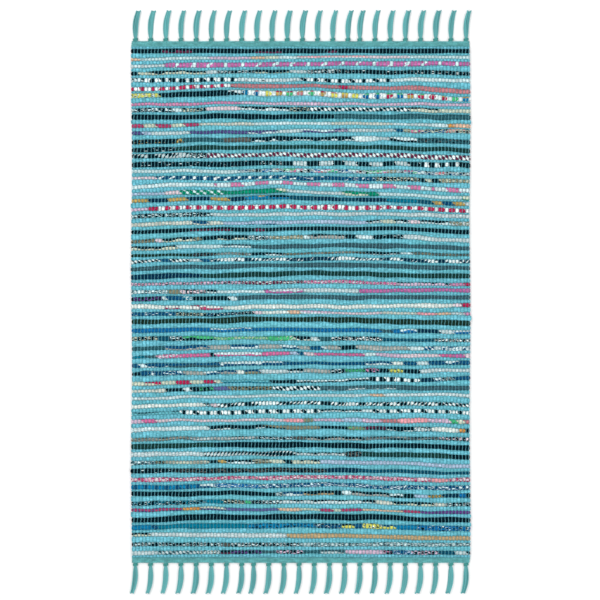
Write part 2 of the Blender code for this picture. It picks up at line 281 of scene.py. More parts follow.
# The chart of the mixed picks, from the far end. place is the pick's distance from the cloth's far
# edge at the middle, left and right how much further it lies near the selvedges, and bulk how wide
# it shows, all in millimetres. rags are its rags from the left: print, dyes and the distance from
# the left selvedge, in centimetres, where each gives way to the next. The last one runs on to the
# right selvedge. In an edge, the first dye is on the far side.
Pick = namedtuple("Pick", "place left right bulk rags")
CHART = (
    Pick(18, 0, 0, 8.0, "ink 5.5, edge ink maroon 11, ink 22, edge ink maroon 27, ink 35, "
         "edge ink maroon 37, ink"),
    Pick(29, 4, 0, 5.2, "peach 1.5, ice 14, mauve 21.5, peach 24, cream 26.5, white 30, "
         "edge salmon white 42.5, blush 50, ice"),
    Pick(41, 4, 0, 8.1, "thin pearl 6, star magenta white"),
    Pick(54, 4, 4, 6.6, "ink 1.3, thin cream 3, edge ink cream 13.5, pearl 15.5, thin salt ink pearl 22, "
         "rim ink cream 28.6, pearl 31.5, salt ink pearl 37.5, speck ink snow"),
    Pick(70, 0, 0, 6.7, "salt white ink 2, dash ink snow 19, speck white ink 30.5, blot ink snow 47, "
         "white"),
    Pick(81, 4, 7, 7.2, "dash red snow 18, coral 37.5, red 39, coral"),
    Pick(95, 2, 7, 9.0, "salt yellow white ink 5, ink 17.5, edge pearl ink 20, bead snow"),
    Pick(112, 2, 2, 5.2, "pink 19.5, mauve"),
    Pick(121, 4, 4, 7.2, "salt ink white 7.5, white 9, salt ink cream 13.5, blush 19.5, "
         "edge ink white 28.5, salt ink cream 32, twill ink snow 50, lip ink cream 55.5, cream"),
    Pick(135, 2, 2, 9.0, "ink 36.5, charcoal"),
    Pick(148, 5, 4, 7.2, "crimson 2.2, cream 4.5, crimson 7.2, cream 9.5, crimson 12.2, thin oat 22, "
         "thin white 36, thin oat 47, thin white 50, thin pearl 54, white 57, orange 58, peach"),
    Pick(162, 4, 0, 6.0, "purple 2, lilac 3.5, pearl 10.5, purple 21, edge purple white 26.5, pearl 30.5, "
         "edge white purple 36.5, salt purple blush 39, speck pearl umber 47.5, navy 49, bloom cream"),
    Pick(176, 5, 4, 8.1, "speck ink gold 8, salt gold ink 9.2, charcoal 16.5, fat umber 21.5, "
         "rim ink white 40, fat white 44.5, thin pearl 46.5, edge white ink 51.5, salt charcoal ink umber"),
    Pick(191, 4, 5, 7.7, "speck ink pearl 8, moss"),
    Pick(205, 2, 5, 8.1, "pied ink pearl 10.5, salt ink white 13.5, twill maroon snow"),
    Pick(220, 2, 4, 8.8, "speck ink pearl 27, band ink pearl 52, dash ink snow 60, ink"),
    Pick(234, 0, 5, 6.2, "ice 19.5, bloom white"),
    Pick(247, 0, 5, 6.6, "thin blush 4.5, gate navy snow 29, speck navy snow 44, salt ink cream 52, "
         "ink 53, cream 54, ink 55.5, salt khaki cream"),
    Pick(257, 5, 11, 7.6, "white 15, band orchid white 53, white 54, band white orchid"),
    Pick(272, 4, 9, 7.8, "thin lilac 6, blush 8.8, fat slash green white 16.5, thin green 20, green 26, "
         "edge cream green 28, thin pearl 38, edge green cream 42.5, green 44.5, thin ice 59.5, "
         "edge cream green"),
    Pick(283, 5, 9, 7.2, "gold 3, midnight 6.6, gold 10, midnight 14.2, gold 17.6, midnight 20.5, "
         "lip gold marine 25, edge ink marine 28.5, deep_teal 33, midnight 37.5, deep_teal 40.5, "
         "midnight 46, teal 51.5, deep_teal 54.4, gold 56, navy 58, gold 60, pearl"),
    Pick(299, 4, 5, 8.1, "thin mauve 3, red 4.3, spot red snow"),
    Pick(311, 4, 4, 6.8, "salt ink ice 14.5, pearl"),
    Pick(326, 4, 2, 6.8, "oat 11, edge navy oat 14, oat 16.5, lilac 21, rim lilac navy 26, lilac 42.5, "
         "edge ink pearl 45, cream 47.5, edge ink white 50, blush 52, edge ink white 57.5, "
         "salt khaki pearl"),
    Pick(338, 5, 4, 6.8, "ink 10.5, edge ink maroon 18, ink 22, edge ink maroon 24, ink"),
    Pick(353, 7, 4, 7.2, "salt khaki ink 4.3, blush 5.6, edge ink cream 11.5, khaki 12.6, ink 14.2, "
         "rim ink cream 21, salt ink white 25, salt khaki cream 31, white 32, lip ink stone 38.5, "
         "ink 40.5, white 43.5, ink 45.5, speck ink white 49, pearl"),
    Pick(369, 4, 2, 6.8, "edge ink cream 8.3, ice 16.5, edge slate white 21.5, slate 44, fat slate 50, "
         "slate"),
    Pick(382, 5, 2, 4.7, "peat 11, fat salt ink umber 15, streak ink khaki pearl 21.5, ink 24, "
         "edge ink white 27.5, thin streak stone ink khaki 42, rim ink pearl 48.5, thin white 50.5, "
         "streak ink slate khaki"),
    Pick(392, 5, 4, 5.6, "twill snow ink 5.2, navy 7, twill snow ink 10.5, pearl 12.5, navy 14.2, "
         "pied midnight snow"),
    Pick(403, 7, 5, 7.2, "slate"),
    Pick(419, 5, 4, 8.1, "midnight 12.5, moss"),
    Pick(434, 4, 5, 5.2, "salt mauve ink crimson 20, salt maroon snow 31, salt rose white ink 48, "
         "lip ink mauve 57.5, pink 60, red"),
    Pick(450, 2, 0, 7.2, "salt white slate 6.6, khaki 8.8, salt blush ink 13.5, edge ink white 15.5, "
         "thin white 24, magenta 25, edge pearl magenta 31, pearl 41, magenta"),
    Pick(461, 4, 2, 7.2, "salt ink plum 5.6, white 6.3, navy 9.4, salt teal white 11, ink 17.6, white 19, "
         "slate"),
    Pick(479, 0, -2, 7.4, "bone 6, edge bone crimson 8.6, bone 11, edge crimson bone 12.4, "
         "edge bone crimson 16.5, bone 58, blush 59.5, red"),
    Pick(490, 2, 2, 6.4, "speck navy pearl 8, salt ink cream 13.5, salt ink navy white 19.5, "
         "salt ink pearl 22, blush 23.6, bone 28.3, fat peach 30.4, edge mauve white 36, thin blush 45, "
         "thin oat 51.5, thin salmon 55, thin peach 57.5, thin pearl 60, thin pink"),
    Pick(502, 4, 7, 8.8, "peat"),
    Pick(520, 2, 4, 6.6, "blue 14.5, lip white blue 22, blue 45, thin slate 47, blue 48.5, "
         "edge white blue 51.5, midnight 55.5, pearl 58, edge pearl blue"),
    Pick(535, 2, 4, 7.2, "salt ink cream 4.7, deep_teal 7, salt ink white 9.5, edge leaf ink 15, "
         "thin salt leaf cream 24.5, leaf 26.5, pied leaf oat 29.5, edge ink oat 32.5, white 33.7, "
         "charcoal 36, salt ink snow 45, thin deep_teal 54.5, thin salt ink snow"),
    Pick(551, 2, 2, 7.4, "charcoal 6, edge navy stone 14, stone 17.8, edge navy white 23, stone 27, "
         "edge white navy 30, stone 32.2, navy 34.4, white 35, stone 37.6, ink 40.5, fat stone 45.5, "
         "stone 50, white 52.5, twill navy snow 54.6, white 55.6, salt white navy"),
    Pick(563, 5, 4, 6.8, "thin teal 2.5, thin slate 4.5, salt rose white 8.8, rose 14.2, ink 15, "
         "edge white rose 23.5, rose 28.5, lilac 30, navy 31, blush 33, thin rose 42, white 44, "
         "mauve 48.5, blush 55.5, rose 58, magenta 60, blush"),
    Pick(580, 4, 0, 7.2, "navy 1.5, white 2.7, rim navy white 6.6, edge navy slate 16, "
         "edge white navy 27.5, thin navy 42, edge navy white 47, bone 49, navy 51.5, white 53.5, "
         "navy 56.5, edge white navy 59.2, navy"),
    Pick(594, 5, 0, 7.2, "thin ink 1.6, fat navy 3, salt navy white 9.4, stone 13.3, edge white navy 15.7, "
         "edge navy stone 19, bone 20.3, edge navy khaki 23.2, pearl 28.3, edge ink pearl 31.3, "
         "stone 35.8, salt ink mist 38.5, thin salt leaf ink 42, salt ink pink 44.5, ink 46.5, "
         "salt yellow ink 49, ink 52, pearl"),
    Pick(612, 4, -4, 7.0, "cream 2.5, edge red cream 5.4, cream 8, red 10.6, cream 13, red 15, cream 16.2, "
         "thin edge sea teal 25, thin ink 28, ink 30, thin edge white ink 43, dash ink snow 52, "
         "midnight 54.5, salt white navy 56, salt ink white 58, navy"),
    Pick(625, 4, 0, 7.4, "thin oat 4.6, oat 6.2, thin ink 9.4, white 10.6, ink 12.2, salt ink leaf 14.8, "
         "violet 17.5, salt khaki ink 25.5, twill snow ink 34, rim slate pearl 47.5, slate"),
    Pick(639, 4, -2, 4.7, "mist 43, peach 45.5, mist"),
    Pick(653, 4, 2, 6.6, "bone 13.3, thin salt ink white 14.4, blush 15.5, pied ink snow 56, "
         "twill ink snow"),
    Pick(666, 5, 2, 6.9, "thin lip charcoal sea 8.8, blot ink snow 34, thin edge ink white 41.5, "
         "thin mist 43, blot ink snow"),
    Pick(682, 2, 2, 6.6, "mauve 2, rose 4.5, thin blush 27.5, salmon 31, khaki 32.8, thin mauve 38, "
         "lilac 41.5, mauve 45, coral 48, fat salmon 53.5, fat mauve 57.5, leaf 58.7, fat cream 60, coral"),
    Pick(695, 4, 5, 7.2, "white 14, rim ink white 24, thin edge khaki ink 27.5, khaki 34, thin ink 39, "
         "salt khaki leaf 42, salt maroon ink 46, rim ink white 51, salt pearl ink 54, bone 59, "
         "orange 60.2, ink"),
    Pick(715, 2, 2, 5.8, "streak khaki ink stone 10.5, streak stone ink pearl 22.5, salt ink white 29.5, "
         "umber 31.3, edge ink stone 42, streak stone ink slate 55.5, salt ink blush"),
    Pick(727, 2, 5, 9.0, "moss 15, ink"),
    Pick(743, 2, 5, 8.0, "pearl 13, rise ink pearl 29.5, thin lip ink pearl 38.5, fat salt ink umber 41.5, "
         "moss 57.5, ink"),
    Pick(758, 2, 7, 6.8, "salt slate white 4.3, salt khaki ink 6, streak khaki cream stone 14, "
         "thin ink 15.7, gold 17, edge ink white 22, streak khaki cream ink 25, cream 27.5, ink 29, "
         "cream 30.4, lip ink cream 34, lilac"),
    Pick(774, 0, 4, 7.8, "speck ink white 7.4, salt ink umber 35, midnight 41, thin deep_teal"),
    Pick(787, 2, 4, 7.2, "grit crimson blush pink 54, salmon 57, grit crimson blush"),
    Pick(801, 2, 4, 7.2, "spot navy marine 12.5, edge white navy 15, salt blue white navy 23.2, "
         "salt navy white lilac"),
    Pick(815, 0, 4, 7.2, "ink 26, salt white ink 27.4, edge navy white 31, edge ink tan 36.4, ink 38, "
         "white 39.6, edge ink stone 46.5, edge white ink 49, ink 51, thin lilac 53.5, "
         "thin salt gold ink 56, midnight 59, blue 60.3, ink"),
    Pick(830, 2, 4, 6.6, "salt ink teal ice 13.3, teal 16.5, salt ink cream 20.5, leaf 21.5, "
         "salt ink white 27, lip ink mist 41.5, rim ink white 44, oat 47, edge ink cream 54.5, oat 56.5, "
         "salt ink white"),
    Pick(844, 0, 5, 5.2, "salt crimson purple 6.7, edge crimson purple 9.2, orange 12.4, "
         "edge cream purple 17, violet 26.5, peach 30.5, thin cream 34, crimson 36.4, cream 37.8, "
         "crimson 41.6, thin peach 48.8, crimson 52, plum"),
    Pick(857, 4, 5, 9.5, "ink"),
    Pick(873, 2, 5, 8.2, "marine 3.8, navy 4.8, teal 21, salt marine ink navy 33, "
         "salt navy ink white 37.9, edge ink yellow 40.1, navy 41.6, salt yellow ink snow 45.2, "
         "edge navy yellow 47.5, marine 51.5, salt blue ink white"),
    Pick(891, -2, 4, 7.8, "edge ink cream 3.4, pearl 28, tan"),
    Pick(907, 0, 0, 6.2, "salt ink ice 16.5, umber 17.8, salt ink white 30.4, grit slate ice"),
    Pick(920, 2, 2, 6.8, "pearl 4.7, twill pearl slate 12, salt white ink khaki 16, edge ink maroon 18, "
         "salt ink plum 23.5, thin slate 26, salt ink mauve 31, thin charcoal 34, edge slate pearl 38.5, "
         "mauve 45.5, salt ink pink 47, salt navy lilac 50.5, salt ink mauve 55.5, deep_teal 58.3, "
         "pearl 60.5, ink"),
)

Rag = namedtuple("Rag", "print dyes bulk start end")
Strand = namedtuple(
    "Strand", "points width height along rag dye shade bake closed under", defaults=(False, None)
)
Bake = namedtuple("Bake", "row start end")  # a strand's strip on the map that its finish can be baked on


def srgb(hex_colour):
    return np.array([int(hex_colour[i : i + 2], 16) / 255 for i in (1, 3, 5)])


def linear(colour):
    """An sRGB colour, as hex or as three channels, as linear RGBA."""
    channels = srgb(colour) if isinstance(colour, str) else colour
    return [c / 12.92 if c <= 0.04045 else ((c + 0.055) / 1.055) ** 2.4 for c in channels] + [1.0]


def uneven(*place):
    """A smooth value from about -1 to 1 that drifts with the place, the same at every run.

    Callers number their picks, rags and ends in uneven steps such as 3.1, so that no two drift alike.
    """
    padded = (list(place) + [0.0, 0.0])[:3]
    return NOISE_REACH * noise.noise(Vector(padded) + Vector((SEED, SEED / 3, SEED / 5)))


def smooth(share):
    """From 0 to 1 with a soft start and end."""
    share = min(1.0, max(0.0, share))
    return share * share * (3 - 2 * share)


# ---------------------------------------------------------------- the chart, worked out


def read_rags(text):
    """The rags of a pick, each from its start to its end across the rug, in metres."""
    rags, start = [], -WIDTH / 2
    for item in text.split(","):
        words = item.split()
        end = WIDTH / 2
        if words[-1][0].isdigit():
            end = float(words.pop()) / 100 - WIDTH / 2
        bulk = {"thin": THIN, "fat": FAT}.get(words[0], 1.0)
        if bulk != 1.0:
            words.pop(0)
        kind = words.pop(0) if words[0] in PRINTS else "plain"
        dyes = (words + [words[-1]] * 2)[:3]
        rags.append(Rag(kind, dyes, bulk, start, end))
        start = end
    return rags


def selvedge(distance, side):
    """X of the selvedge at a distance from the far end."""
    turn = math.tau * SELVEDGE_WAVES * (0.5 - distance / LENGTH)
    return side * (WIDTH / 2 + SELVEDGE_DRIFT * math.sin(turn + SIDE_PHASE[side]))


def warp_x(end):
    return (end + 0.5) * WARP_PITCH - WIDTH / 2


def nearest_end(x):
    return min(WARP_ENDS - 1, max(0, round((x + WIDTH / 2) / WARP_PITCH - 0.5)))


def charted_lines():
    """Distance from the far end and half width of each mixed pick, at every warp end."""
    across = np.array([warp_x(end) for end in range(WARP_ENDS)])
    station = across / CHART_STATION
    lines, halves = [], []
    for number, pick in enumerate(CHART):
        droop = (pick.left * (station**2 - station) + pick.right * (station**2 + station)) / 2
        line = (pick.place + droop) / 1000
        near_heading = min(1.0, min(line.min(), LENGTH - line.max()) / CALM_BY_HEADING)
        swing = [
            LONG_SWING * uneven(x / LONG_LENGTH, pick.place / TOGETHER)
            + SHORT_SWING * uneven(x / SHORT_LENGTH, number * 3.1, 5.0)
            for x in across
        ]
        lines.append(line + WANDER * near_heading * np.array(swing))
        bulk = np.ones(WARP_ENDS)
        for rag in read_rags(pick.rags):
            bulk[(across >= rag.start) & (across < rag.end)] = rag.bulk
        bulk = np.pad(bulk, BULK_BLEND // 2, mode="edge")
        bulk = np.convolve(bulk, np.ones(BULK_BLEND) / BULK_BLEND, mode="valid")
        swell = [1 + BULK_UNEVEN * uneven(x / BULK_LENGTH, number * 2.3, 9.0) for x in across]
        halves.append(bulk * np.array(swell) * pick.bulk / 2 / 1000)
    return lines, halves


def all_picks():
    """Lines and half widths of every pick, turquoise first and last, and in turn between."""
    mixed_lines, mixed_halves = charted_lines()
    ground = np.full(WARP_ENDS, HEADING_DEPTH)
    lines, halves = [], []
    far_edge = ground
    for line, half in zip(mixed_lines + [None], mixed_halves + [None]):
        near_edge = LENGTH - ground if line is None else line - half
        room = np.maximum(near_edge - far_edge, LEAST_TURQUOISE)
        lines.append((near_edge + far_edge) / 2)
        halves.append(room / 2)
        if line is not None:
            lines.append(line)
            halves.append(half)
            far_edge = line + half
    return lines, halves


# ---------------------------------------------------------------- rag picks


def warp_is_over(pick, end):
    return (pick + end) % 2 == 0


def rag_stations(pick, start, end, joins):
    """X of each point of a rag's path, with -1 under a crossing warp end and 1 over the next one."""
    crossings = []
    for e in range(WARP_ENDS):
        if warp_is_over(pick, e):
            crossings.append((warp_x(e), -1.0))
        else:
            crossings += [(warp_x(e) + side * SWELL_REACH * WARP_PITCH, 1.0) for side in (-1, 1)]
    crossings = [place for place in crossings if start + CLEAR_OF_END < place[0] < end - CLEAR_OF_END]
    opening = [(start, 0.0)] if joins[0] else [(start, 0.0), (start + END_MARGIN, 0.0)]
    closing = [(end, 0.0)] if joins[1] else [(end - END_MARGIN, 0.0), (end, 0.0)]
    return opening + crossings + closing


def grown(distance, joined):
    """Share of its full width that a rag has at a distance from its end."""
    if joined:
        return LAP_END + (1 - LAP_END) * smooth(distance / LAP_TAPER)
    inward = min(1.0, distance / TURN_DEPTH)
    return TURN_END + (1 - TURN_END) * math.sqrt(1 - (1 - inward) ** 2)


def rag_strand(pick, line, half, rag, joins, shade, bake):
    """One rag of a pick. It tapers and slips aside where the next one takes over."""
    start = rag.start - RAG_LAP if joins[0] else selvedge(line[0], -1)
    end = rag.end + RAG_LAP if joins[1] else selvedge(line[-1], 1)
    points, width, height, under = [], [], [], []
    for x, press in rag_stations(pick, start, end, joins):
        room = half[nearest_end(x)]
        shares = grown(x - start, joins[0]), grown(end - x, joins[1])
        taper = shares[0] * shares[1]
        slip = sum(
            side * LAP_SLIP * room * (1 - share)
            for side, share, joined in zip((-1, 1), shares, joins)
            if joined
        )
        points.append((x, LENGTH / 2 - line[nearest_end(x)] - slip, FIELD_MIDDLE + press * RAG_PRESS))
        pinch = RAG_PINCH * min(1.0, room / FIRM_RAG)
        fullness = 1 - pinch if press < 0 else 1 + RAG_SWELL * press
        width.append(room * RAG_CROWD * fullness * taper)
        height.append(RAG_HEIGHT / 2 * (FLAT_END + (1 - FLAT_END) * taper) * (1 + RAG_PLUMP * press))
        under.append(room * RAG_CROWD * (UNDER_NECK if press > 0 else UNDER_FULL) * taper)
    along = np.array([point[0] for point in points]) + WIDTH / 2
    return Strand(points, width, height, along, rag, None, shade, bake, under=under)


def weft_strands():
    """Every pick's strands, as one list for each pick."""
    lines, halves = all_picks()
    turquoise = Rag("plain", ("turquoise", "sea", "sea"), 1.0, -WIDTH / 2, WIDTH / 2)
    picks = []
    for pick, (line, half) in enumerate(zip(lines, halves)):
        rags = read_rags(CHART[pick // 2].rags) if pick % 2 else [turquoise]
        laid = sum(rag.end - rag.start + 2 * RAG_LAP for rag in rags)
        strands, run = [], 0.0
        for number, rag in enumerate(rags):
            ahead = run + (rag.end - rag.start + 2 * RAG_LAP) / laid
            shade = 1 + RAG_SHADE * uneven(pick * 1.7, number * 2.9)
            joins = (number > 0, number < len(rags) - 1)
            strands.append(rag_strand(pick, line, half, rag, joins, shade, Bake(0, run, ahead)))
            run = ahead
        picks.append(strands)
    return picks, lines, halves


# ---------------------------------------------------------------- warp and headings


def linted_dyes(pick):
    """What the warp ends look like where they cross a pick, one dye for each end."""
    if pick % 2 == 0:
        # Painted shade: over a turquoise pick the warp end takes a darker, deeper teal for the groove that
        # it lies in.
        return [linear(DYES["shaded_groove_yarn"])] * WARP_ENDS
    dyes = []
    for rag in read_rags(CHART[pick // 2].rags):
        share = PRINTS[rag.print].share
        own = share * srgb(DYES[rag.dyes[0]]) + (1 - share) * srgb(DYES[rag.dyes[1]])
        clings = LINT + LIGHT_LINT * own.max() ** 2
        # Painted shade: the yarn that this starts from is drawn darker, and so is the lint, as the end lies
        # between the rags.
        dye = (1 - clings) * srgb(DYES["shaded_crossing_yarn"]) + clings * LINT_PAINTED_SHADE * own
        dyes += [linear(dye)] * sum(rag.start <= warp_x(end) < rag.end for end in range(WARP_ENDS))
    return dyes


def heading_line(number):
    """Distance of a heading pick from the cloth's end."""
    return HEADING_DEPTH * (number + 0.5) / HEADING_PICKS


def heading_crossings(end):
    """A warp end's stations in the far heading, from its tip: distance, height, slant and dye."""
    yarn = linear(DYES["yarn"])
    stations = [(WARP_TIP, HEADING_MIDDLE, 0.0, yarn)]
    for number in range(HEADING_PICKS):
        up = 1 if (number + end) % 2 else -1
        stations.append((heading_line(number), HEADING_MIDDLE + up * HEADING_RISE, 0.0, yarn))
    return stations


def warp_strand(end, lines, halves, dyes, bake):
    """One warp end, over and under every pick from heading to heading."""
    far = heading_crossings(end)
    near = [(LENGTH - distance, 2 * HEADING_MIDDLE - z, aside, dye) for distance, z, aside, dye in far]
    middle = []
    for pick, (line, half) in enumerate(zip(lines, halves)):
        if warp_is_over(pick, end):
            reach = WARP_REACH * half[end]
            z = FIELD_MIDDLE + WARP_RISE
            aside = WARP_SLANT * (SLANT_BIAS + uneven(warp_x(end) / SLANT_LENGTH, pick * 1.3))
            middle.append((line[end] - reach, z, aside, dyes[pick][end]))
            middle.append((line[end] + reach, z, -aside, dyes[pick][end]))
        else:
            middle.append((line[end], FIELD_MIDDLE - WARP_RISE, 0.0, dyes[pick][end]))
    stations = far + middle + near[::-1]
    points = []
    for distance, z, aside, dye in stations:
        x = warp_x(end) + aside + WARP_WANDER * uneven(distance / WARP_WANDER_LENGTH, end * 1.9)
        inset = math.copysign(1, x) * WARP_INSET * smooth((abs(x) - INSET_FROM) / INSET_OVER)
        points.append((x - inset, LENGTH / 2 - distance, z))
    width = np.full(len(points), WARP_WIDTH / 2)
    height = np.full(len(points), WARP_HEIGHT / 2)
    along = np.array([station[0] for station in stations])
    dye = np.array([station[3] for station in stations])
    return Strand(points, width, height, along, None, dye, 1 + WARP_SHADE * uneven(end * 2.7), bake)


def heading_strand(number, far, bake):
    """One yarn pick of a heading."""
    from_end = heading_line(number)
    distance = from_end if far else LENGTH - from_end
    taper = HEADING_TAPER * (1 - from_end / HEADING_DEPTH) ** 2
    stations = [(selvedge(distance, -1) + taper, 0)]
    stations += [(warp_x(e), 1 if (number + e) % 2 else -1) for e in range(WARP_ENDS)]
    stations += [(selvedge(distance, 1) - taper, 0)]
    points = []
    for x, press in stations:
        stray = HEADING_STRAY * uneven(x / HEADING_STRAY_LENGTH, number, far)
        points.append((x, LENGTH / 2 - distance + stray, HEADING_MIDDLE - press * HEADING_PRESS))
    size = [HEADING_TIP] + [1.0] * WARP_ENDS + [HEADING_TIP]
    width = [HEADING_DEPTH / HEADING_PICKS / 2 * HEADING_CROWD * s for s in size]
    height = [HEADING_YARN * s for s in size]
    along = np.array([x for x, press in stations]) + WIDTH / 2
    drift = np.array([uneven(x / HEADING_TONE_LENGTH, number * 3.3, far) for x, press in stations])
    shade = HEADING_TONE + HEADING_TONE_UNEVEN * drift
    return Strand(points, width, height, along, None, linear(DYES["yarn"]), shade, bake)


# ---------------------------------------------------------------- fringe


def tassel_places():
    """X of each tassel, from the left, centred on the rug."""
    places = [0.0]
    for placed in range(1, TASSELS):
        pitch = SHORT_PITCH if placed == SHORT_AFTER else TASSEL_PITCH
        places.append(places[-1] + pitch)
    middle = places[-1] / 2
    return [place - middle for place in places]


def lean(distance):
    """How far right a tassel has bent at this distance from the heading."""
    share = max(0.0, (distance - LEAN_FROM) / (FRINGE_LENGTH - LEAN_FROM))
    return TIP_LEAN * share**2


def tassel_width(distance):
    distances = [section.distance for section in TASSEL_SECTIONS]
    return float(np.interp(distance, distances, [section.width for section in TASSEL_SECTIONS]))


def layer_height(distance, upper):
    """Height of a strand's middle in its layer of the tassel, from the heading to the floor."""
    if 0 < distance < KNOT_LENGTH:
        return HEADING_MIDDLE + (KNOT_LIFT if upper else -KNOT_LIFT)
    gathered = smooth((distance - GATHER_FROM) / GATHER_OVER)
    lift = STRAND_HEIGHT * (UPPER_LIFT if upper else LOWER_LIFT) + STRAND_HEIGHT / 2
    return HEADING_MIDDLE * (1 - gathered) + lift * gathered


def tassel_strands(number, place, ends, far):
    """The warp ends of one tassel, drawn in to its knot and hanging free from there."""
    strands = []
    for slot, end in enumerate(ends):
        side = (slot + 0.5) / len(ends) * 2 - 1
        uneven_cut = TUFT_UNEVEN * uneven(number * 3.7, slot * 2.3, far)
        cut = FRINGE_LENGTH - TUFT_CUT + TUFT_ROUND * side**2 + uneven_cut
        drift = TUFT_DRIFT * uneven(number * 1.3, slot * 4.1, far)
        points, width, height = [], [], []
        for distance in (*STRAND_STATIONS, cut):
            spread = (tassel_width(distance) - STRAND_WIDTH) / 2
            x = place + lean(distance) + side * spread + drift * smooth(distance / FRINGE_LENGTH)
            gathered = smooth((distance - GATHER_FROM) / GATHER_OVER)
            x = warp_x(end) * (1 - gathered) + x * gathered
            z = layer_height(distance, slot % 2 == 0)
            z += STRAND_STRAY * uneven(distance / STRAND_STRAY_LENGTH, number * 2.1, slot * 3.0)
            points.append((x, distance, z))
            full = smooth((distance - UNTWIST_FROM) / UNTWIST_OVER)
            width.append((WARP_WIDTH * (1 - full) + STRAND_WIDTH * full) / 2)
            height.append((WARP_HEIGHT * (1 - full) + STRAND_HEIGHT * full) / 2)
        width[-1] *= TUFT_TIP
        along = np.array([*STRAND_STATIONS, cut]) + STRAND_APART * slot
        shade = STRAND_TONE + STRAND_TONE_UNEVEN * uneven(number * 2.7, slot * 1.9, far)
        bake = Bake(number, slot / TASSEL_STRIPS, (slot + TASSEL_STRIP_FILL) / TASSEL_STRIPS)
        strands.append(Strand(points, width, height, along, None, linear(DYES["yarn"]), shade, bake))
    return strands


def knot_strands(number, place, far):
    """The yarns that cross over a tassel's neck in its knot."""
    strands = []
    turns = np.linspace(0, math.tau, KNOT_TURN_POINTS, endpoint=False)
    for wrap, slope in enumerate(WRAP_SLOPES):
        middle = WRAP_START + WRAP_PITCH * wrap
        points = [
            (
                place + WRAP_ACROSS * math.cos(turn),
                middle + slope * math.cos(turn),
                WRAP_MIDDLE + WRAP_UP * math.sin(turn),
            )
            for turn in turns
        ]
        width = np.full(len(turns), KNOT_YARN)
        along = turns * WRAP_ROUND
        # Painted shade: the wraps are drawn in the darker knot dye and a tone under 1, for the shade in the
        # tight knot.
        shade = WRAP_TONE + WRAP_TONE_UNEVEN * uneven(number * 5.1, wrap, far)
        strip = WRAP_STRIP + WRAP_STRIP_PITCH * wrap
        bake = Bake(number, strip / TASSEL_STRIPS, (strip + WRAP_STRIP_FILL) / TASSEL_STRIPS)
        dye = linear(DYES["knot"])
        strands.append(Strand(points, width, width, along, None, dye, shade, bake, closed=True))
    return strands


def fringe_strands(far):
    """Both kinds of strand at one end of the rug. The near end is the far one, turned half round."""
    places = tassel_places()
    borders = [-WIDTH] + [(a + b) / 2 for a, b in zip(places, places[1:])] + [WIDTH]
    strands = []
    for number, place in enumerate(places):
        ends = [e for e in range(WARP_ENDS) if borders[number] <= warp_x(e) < borders[number + 1]]
        strands += tassel_strands(number, place, ends, far) + knot_strands(number, place, far)
    facing = 1 if far else -1
    return [
        strand._replace(points=[(facing * x, facing * (LENGTH / 2 + y), z) for x, y, z in strand.points])
        for strand in strands
    ]


# ---------------------------------------------------------------- trees and meshes


def add(tree, kind, links=(), **settings):
    """Adds a node with its settings. links gives its inputs values, sockets or whole nodes.

    A tuple is for the first inputs in their order, and a dict for inputs by name or number.
    """
    made = tree.nodes.new(kind)
    for name, value in settings.items():
        setattr(made, name, value)
    named = links if isinstance(links, dict) else dict(enumerate(links))
    for socket, value in named.items():
        if isinstance(value, bpy.types.Node):
            value = next(output for output in value.outputs if output.enabled)
        if isinstance(value, bpy.types.NodeSocket):
            tree.links.new(value, made.inputs[socket])
        else:
            made.inputs[socket].default_value = value
    return made


def carried(tree, name, kind="FLOAT"):
    """The value that the paths carry under this name, at each point of a body."""
    return add(tree, "GeometryNodeInputNamedAttribute", {"Name": name}, data_type=kind)


def open_strand_tree(name):
    """A tree with the strands' inputs and output. Returns it and its inputs' sockets."""
    tree = bpy.data.node_groups.new(name, "GeometryNodeTree")
    tree.is_modifier = True
    inputs = (("Paths", "Geometry"), ("Sides", "Int"), ("Rumple depth", "Float"),
              ("Rumple length", "Float"), ("Seed", "Int"))
    for label, kind in inputs:
        tree.interface.new_socket(label, in_out="INPUT", socket_type=f"NodeSocket{kind}")
    tree.interface.new_socket("Strands", in_out="OUTPUT", socket_type="NodeSocketGeometry")
    return tree, add(tree, "NodeGroupInput").outputs


def swept_paths(tree, given, width):
    """Round bodies along the paths, each point of which knows its core and its side of the round."""
    curve = add(tree, "GeometryNodeMeshToCurve", {"Mesh": given["Paths"]})
    curve = add(tree, "GeometryNodeSetCurveNormal", {"Curve": curve}, mode="Z_UP")
    place = add(tree, "GeometryNodeInputPosition")
    curve = add(tree, "GeometryNodeStoreNamedAttribute",
                {"Geometry": curve, "Name": "core", "Value": place}, data_type="FLOAT_VECTOR")
    circle = add(tree, "GeometryNodeCurvePrimitiveCircle", {"Resolution": given["Sides"], "Radius": 1.0})
    parts = add(tree, "ShaderNodeSeparateXYZ", {"Vector": place})
    for side, axis in (("across", "X"), ("lift", "Y")):
        facing = add(tree, "ShaderNodeMath", (parts.outputs[axis], -1.0), operation="MULTIPLY")
        circle = add(tree, "GeometryNodeStoreNamedAttribute",
                     {"Geometry": circle, "Name": side, "Value": facing})
    return add(tree, "GeometryNodeCurveToMesh",
               {"Curve": curve, "Profile Curve": circle, "Scale": width, "Fill Caps": True})


def flattened(tree, width, core):
    """From a round body's core to its surface, at the path's own height and underside."""
    out = add(tree, "ShaderNodeVectorMath", (add(tree, "GeometryNodeInputPosition"), core),
              operation="SUBTRACT")
    flat = add(tree, "ShaderNodeMath", (carried(tree, "height"), width), operation="DIVIDE")
    under = add(tree, "ShaderNodeMath", (carried(tree, "under"), width), operation="DIVIDE")
    below = add(tree, "FunctionNodeCompare", (carried(tree, "lift"), UNDERSIDE), operation="LESS_THAN")
    wide = add(tree, "GeometryNodeSwitch", {"Switch": below, "False": 1.0, "True": under},
               input_type="FLOAT")
    squeeze = add(tree, "ShaderNodeCombineXYZ", {"X": wide, "Y": wide, "Z": flat})
    return add(tree, "ShaderNodeVectorMath", (out, squeeze), operation="MULTIPLY")


